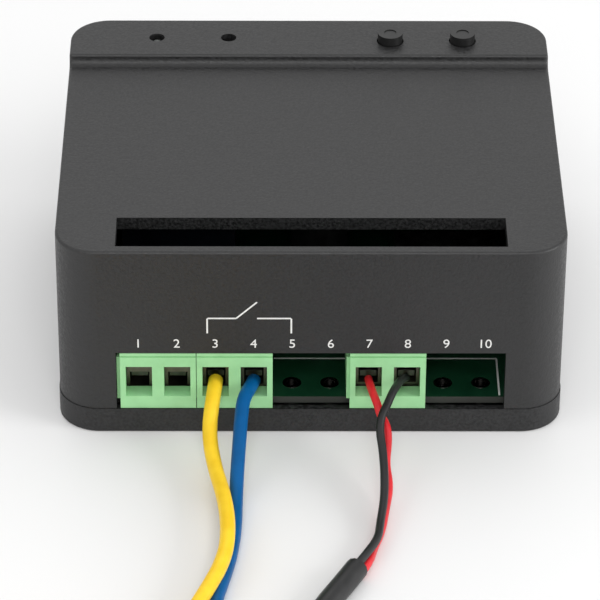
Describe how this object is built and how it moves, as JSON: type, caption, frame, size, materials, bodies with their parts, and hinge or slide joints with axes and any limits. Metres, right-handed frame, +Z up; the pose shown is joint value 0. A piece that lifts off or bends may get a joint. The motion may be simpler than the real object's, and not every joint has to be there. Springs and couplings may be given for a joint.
{
  "type": "gate control module",
  "caption": "Small black plastic box module with screw terminals in a front notch, push buttons and status lamps on a raised rear ledge, and coloured wires held in its terminals",
  "frame": {"origin": "middle of the case's footprint, on the underside of the base", "axes": "+Z is up through the case's top panel, +X runs along the terminals from place one to place ten, +Y points from the terminal notch to the raised ledge"},
  "size_m": [0.0804, 0.1709, 0.0312],
  "materials": {
    "case_black": "fine textured satin moulding",
    "button_black": "smooth satin moulding",
    "part_black": "smooth moulding",
    "board_green": "dark green solder mask",
    "terminal_green": "light green moulding",
    "tinned_brass": "bright tin",
    "clamp_brass": "dull nickelled brass",
    "steel": "zinc plated",
    "copper": "bare copper",
    "lamp_clear": "milky epoxy",
    "relay_blue": "moulded",
    "bobbin_white": "moulded",
    "wire_yellow": "smooth insulation",
    "wire_blue": "smooth insulation",
    "wire_red": "smooth insulation",
    "wire_black": "smooth insulation"
  },
  "bodies": {
    "root": {"lid": "case_black", "base": "case_black", "case_screws": "steel", "board": "board_green", "terminal_left": "terminal_green", "terminal_middle": "terminal_green", "terminal_right": "terminal_green", "contact_bars": "tinned_brass", "indicator_board": "board_green", "indicator_screws": "steel", "switch_bodies": "part_black", "snap_domes": "steel", "switch_covers": "steel", "lamps": "lamp_clear", "lamp_legs": "tinned_brass", "header_socket": "part_black", "header_strip": "part_black", "header_pins": "tinned_brass", "relay_case": "relay_blue", "relay_base": "part_black", "relay_bobbin": "bobbin_white", "relay_winding": "copper", "relay_yoke": "steel", "relay_pins": "tinned_brass", "radio_board": "board_green", "radio_shield": "steel", "capacitors": "part_black", "inductor": "part_black", "chips": "part_black", "yellow_wire": "wire_yellow", "yellow_coil": "wire_yellow", "yellow_tail": "wire_yellow", "blue_wire": "wire_blue", "blue_coil": "wire_blue", "blue_tail": "wire_blue", "red_core": "wire_red", "black_core": "wire_black", "lead": "wire_black", "lead_coil": "wire_black", "lead_tail": "wire_black", "red_end": "wire_red", "black_end": "wire_black", "conductors": "copper", "bare_ends": "copper", "coil_ties": "wire_black"},
    "clamp_one_body": {"clamp_one": "clamp_brass"},
    "clamp_two_body": {"clamp_two": "clamp_brass"},
    "clamp_three_body": {"clamp_three": "clamp_brass"},
    "clamp_four_body": {"clamp_four": "clamp_brass"},
    "clamp_seven_body": {"clamp_seven": "clamp_brass"},
    "clamp_eight_body": {"clamp_eight": "clamp_brass"},
    "screw_one_body": {"screw_one": "steel"},
    "screw_two_body": {"screw_two": "steel"},
    "screw_three_body": {"screw_three": "steel"},
    "screw_four_body": {"screw_four": "steel"},
    "screw_seven_body": {"screw_seven": "steel"},
    "screw_eight_body": {"screw_eight": "steel"},
    "button_left_body": {"button_left": "button_black"},
    "button_right_body": {"button_right": "button_black"},
    "armature_body": {"relay_armature": "steel"}
  },
  "joints": [
    {"name": "screw_one_turn", "type": "hinge", "parent": "root", "child": "screw_one_body", "pos_m": [-0.02278, -0.0246, 0.0142], "axis": [0, 0, 1], "range_deg": [0, 1280]},
    {"name": "screw_two_turn", "type": "hinge", "parent": "root", "child": "screw_two_body", "pos_m": [-0.0177, -0.0246, 0.0142], "axis": [0, 0, 1], "range_deg": [0, 1280]},
    {"name": "screw_three_turn", "type": "hinge", "parent": "root", "child": "screw_three_body", "pos_m": [-0.01262, -0.0246, 0.0142], "axis": [0, 0, 1], "range_deg": [-576, 0]},
    {"name": "screw_four_turn", "type": "hinge", "parent": "root", "child": "screw_four_body", "pos_m": [-0.00754, -0.0246, 0.0142], "axis": [0, 0, 1], "range_deg": [-576, 0]},
    {"name": "screw_seven_turn", "type": "hinge", "parent": "root", "child": "screw_seven_body", "pos_m": [0.0077, -0.0246, 0.0142], "axis": [0, 0, 1], "range_deg": [-816, 0]},
    {"name": "screw_eight_turn", "type": "hinge", "parent": "root", "child": "screw_eight_body", "pos_m": [0.01278, -0.0246, 0.0142], "axis": [0, 0, 1], "range_deg": [-816, 0]},
    {"name": "clamp_one_lift", "type": "slide", "parent": "root", "child": "clamp_one_body", "axis": [0, 0, 1], "range_m": [0, 0.0016]},
    {"name": "clamp_two_lift", "type": "slide", "parent": "root", "child": "clamp_two_body", "axis": [0, 0, 1], "range_m": [0, 0.0016]},
    {"name": "clamp_three_lift", "type": "slide", "parent": "root", "child": "clamp_three_body", "axis": [0, 0, 1], "range_m": [-0.00072, 0]},
    {"name": "clamp_four_lift", "type": "slide", "parent": "root", "child": "clamp_four_body", "axis": [0, 0, 1], "range_m": [-0.00072, 0]},
    {"name": "clamp_seven_lift", "type": "slide", "parent": "root", "child": "clamp_seven_body", "axis": [0, 0, 1], "range_m": [-0.00102, 0]},
    {"name": "clamp_eight_lift", "type": "slide", "parent": "root", "child": "clamp_eight_body", "axis": [0, 0, 1], "range_m": [-0.00102, 0]},
    {"name": "button_left_press", "type": "slide", "parent": "root", "child": "button_left_body", "axis": [0, 0, 1], "range_m": [-0.00025, 0], "stiffness_N_per_m": 600, "springref_m": 0.0005},
    {"name": "button_right_press", "type": "slide", "parent": "root", "child": "button_right_body", "axis": [0, 0, 1], "range_m": [-0.00025, 0], "stiffness_N_per_m": 600, "springref_m": 0.0005},
    {"name": "armature_swing", "type": "hinge", "parent": "root", "child": "armature_body", "pos_m": [-0.018, 0.0011, 0.01545], "axis": [1, 0, 0], "range_deg": [-2, 0], "stiffness_Nm_per_rad": 0.02, "springref_deg": 2.86}
  ],
  "couplings": [
    {"joint": "screw_one_turn", "follows": "clamp_one_lift", "rad_per_m": 13962},
    {"joint": "screw_two_turn", "follows": "clamp_two_lift", "rad_per_m": 13962},
    {"joint": "screw_three_turn", "follows": "clamp_three_lift", "rad_per_m": 13962},
    {"joint": "screw_four_turn", "follows": "clamp_four_lift", "rad_per_m": 13962},
    {"joint": "screw_seven_turn", "follows": "clamp_seven_lift", "rad_per_m": 13962},
    {"joint": "screw_eight_turn", "follows": "clamp_eight_lift", "rad_per_m": 13962}
  ]
}
